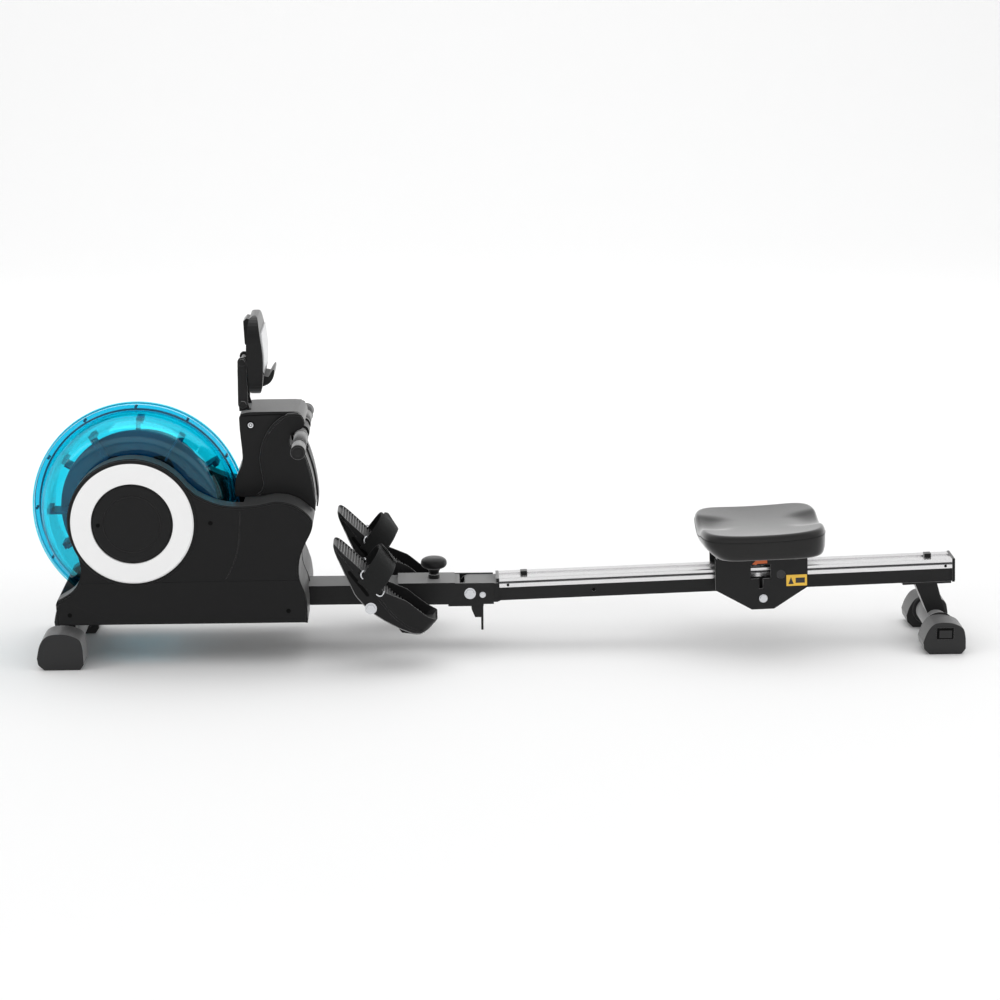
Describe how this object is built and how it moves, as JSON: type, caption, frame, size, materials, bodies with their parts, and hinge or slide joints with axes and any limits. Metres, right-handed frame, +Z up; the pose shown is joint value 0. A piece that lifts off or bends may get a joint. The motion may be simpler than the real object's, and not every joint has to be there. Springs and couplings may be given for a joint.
{
  "type": "rowing machine",
  "caption": "Folding home rowing machine with a clear blue water tank, pull handle, tilting console, strapped pedals and a padded seat rolling on a rail.",
  "frame": {"origin": "on the floor under the centre of the bounding box", "axes": "+X from the water tank towards the rear foot, +Y to the rower's left (away from the near side), +Z up"},
  "size_m": [1.906, 0.418, 0.7],
  "materials": {
    "black_steel": "satin black powder coat",
    "black_plastic": "fine grained black",
    "cap_rubber": "matte",
    "tank_clear": "clear aqua blue moulding",
    "gasket": "matte",
    "zinc": "bright zinc",
    "white_plastic": "white semi gloss",
    "grey_plastic": "dark grey",
    "impeller_plastic": "pale clear blue",
    "belt_rubber": "matte",
    "webbing": "woven",
    "foam": "soft foam",
    "track": "silver anodised",
    "cushion": "black synthetic leather",
    "roller_plastic": "white nylon",
    "screen": "light bezel"
  },
  "bodies": {
    "frame": {"main_beam": "black_steel", "side_rails": "black_steel", "beam_sleeve": "black_steel", "hinge_bracket": "black_steel", "hinge_bolts": "zinc", "front_tube": "black_steel", "front_caps": "cap_rubber", "tank_shell_a": "tank_clear", "tank_shell_b": "tank_clear", "tank_gasket": "gasket", "case_screws": "zinc", "cover_a": "black_plastic", "cover_b": "black_plastic", "trim_rings": "white_plastic", "hub_caps": "black_plastic", "tower_core": "black_plastic", "tower_wings": "black_plastic", "tower_spine": "grey_plastic", "bearing_posts": "black_steel", "jack_axle": "zinc", "drive_belt": "belt_rubber", "console_mount": "black_steel", "pedal_axle": "zinc"},
    "impeller": {"impeller": "impeller_plastic", "impeller_shaft": "zinc"},
    "drive_pulley": {"large_pulley": "black_plastic"},
    "spool": {"strap_spool": "black_plastic"},
    "guide": {"guide_roller": "roller_plastic"},
    "handle": {"handle_bar": "black_steel", "handle_grips": "foam", "strap_clamp": "black_plastic", "pull_strap": "webbing"},
    "console_arm": {"console_arm": "black_steel"},
    "console": {"console_body": "black_plastic", "console_face": "screen"},
    "pedal_near": {"pedal_a": "black_plastic", "foot_strap_a": "webbing"},
    "pedal_far": {"pedal_b": "black_plastic", "foot_strap_b": "webbing"},
    "knob": {"fold_knob": "black_plastic"},
    "rail": {"rail_tongue": "black_steel", "rail_tube": "black_steel", "rail_track": "track", "rail_end_cap": "black_plastic", "rear_post": "black_steel", "rear_tube": "black_steel", "rear_caps": "cap_rubber"},
    "wheel_near": {"level_wheel_a": "black_plastic"},
    "wheel_far": {"level_wheel_b": "black_plastic"},
    "seat": {"seat_cushion": "cushion", "seat_base": "black_steel", "carriage_plates": "black_steel", "carriage_axles": "zinc"},
    "front_rollers": {"roller_front": "roller_plastic"},
    "rear_rollers": {"roller_rear": "roller_plastic"},
    "lower_roller": {"roller_lower": "roller_plastic"}
  },
  "joints": [
    {"name": "impeller_spin", "type": "hinge", "parent": "frame", "child": "impeller", "pos_m": [-0.735, 0, 0.3], "axis": [0, 1, 0], "continuous": true},
    {"name": "drive_pulley_spin", "type": "hinge", "parent": "frame", "child": "drive_pulley", "pos_m": [-0.47, 0, 0.236], "axis": [0, 1, 0], "continuous": true},
    {"name": "handle_pull", "type": "slide", "parent": "frame", "child": "handle", "axis": [0.9903, 0, 0.1392], "range_m": [0, 1], "stiffness_N_per_m": 8, "springref_m": -2, "deforming": ["pull_strap"]},
    {"name": "spool_spin", "type": "hinge", "parent": "frame", "child": "spool", "pos_m": [-0.47, 0, 0.236], "axis": [0, 1, 0], "range_deg": [-60, 1950]},
    {"name": "guide_spin", "type": "hinge", "parent": "frame", "child": "guide", "pos_m": [-0.44, 0, 0.436], "axis": [0, 1, 0], "range_deg": [-60, 4600]},
    {"name": "console_arm_tilt", "type": "hinge", "parent": "frame", "child": "console_arm", "pos_m": [-0.515, 0, 0.519], "axis": [0, 1, 0], "range_deg": [-25, 15]},
    {"name": "console_tilt", "type": "hinge", "parent": "console_arm", "child": "console", "pos_m": [-0.515, 0, 0.605], "axis": [0, 1, 0], "range_deg": [-20, 4]},
    {"name": "pedal_near_tilt", "type": "hinge", "parent": "frame", "child": "pedal_near", "pos_m": [-0.26, -0.138, 0.129], "axis": [0, 1, 0], "range_deg": [-10, 0]},
    {"name": "pedal_far_tilt", "type": "hinge", "parent": "frame", "child": "pedal_far", "pos_m": [-0.26, 0.138, 0.129], "axis": [0, 1, 0], "range_deg": [-10, 0]},
    {"name": "knob_pull", "type": "slide", "parent": "frame", "child": "knob", "axis": [0, 0, 1], "range_m": [0, 0.01], "stiffness_N_per_m": 900, "springref_m": -0.01},
    {"name": "rail_fold", "type": "hinge", "parent": "frame", "child": "rail", "pos_m": [-0.059, 0, 0.117], "axis": [0, -1, 0], "range_deg": [0, 90]},
    {"name": "wheel_near_spin", "type": "hinge", "parent": "rail", "child": "wheel_near", "pos_m": [0.909, -0.13, 0.045], "axis": [0, 1, 0], "continuous": true},
    {"name": "wheel_far_spin", "type": "hinge", "parent": "rail", "child": "wheel_far", "pos_m": [0.909, 0.13, 0.045], "axis": [0, 1, 0], "continuous": true},
    {"name": "seat_slide", "type": "slide", "parent": "rail", "child": "seat", "axis": [0.9995, 0, 0.0323], "range_m": [-0.25, 0.27]},
    {"name": "front_roller_spin", "type": "hinge", "parent": "seat", "child": "front_rollers", "pos_m": [0.47336, 0, 0.17286], "axis": [0, 1, 0], "range_deg": [-1300, 1400]},
    {"name": "rear_roller_spin", "type": "hinge", "parent": "seat", "child": "rear_rollers", "pos_m": [0.6033, 0, 0.17706], "axis": [0, 1, 0], "range_deg": [-1300, 1400]},
    {"name": "lower_roller_spin", "type": "hinge", "parent": "seat", "child": "lower_roller", "pos_m": [0.54463, 0, 0.10393], "axis": [0, 1, 0], "range_deg": [-1500, 1400]}
  ],
  "couplings": [
    {"joint": "drive_pulley_spin", "follows": "impeller_spin", "ratio": 0.5},
    {"joint": "spool_spin", "follows": "handle_pull", "rad_per_m": 32.258},
    {"joint": "guide_spin", "follows": "handle_pull", "rad_per_m": 76.923},
    {"joint": "front_roller_spin", "follows": "seat_slide", "rad_per_m": 83.333},
    {"joint": "rear_roller_spin", "follows": "seat_slide", "rad_per_m": 83.333},
    {"joint": "lower_roller_spin", "follows": "seat_slide", "rad_per_m": -90.909}
  ]
}
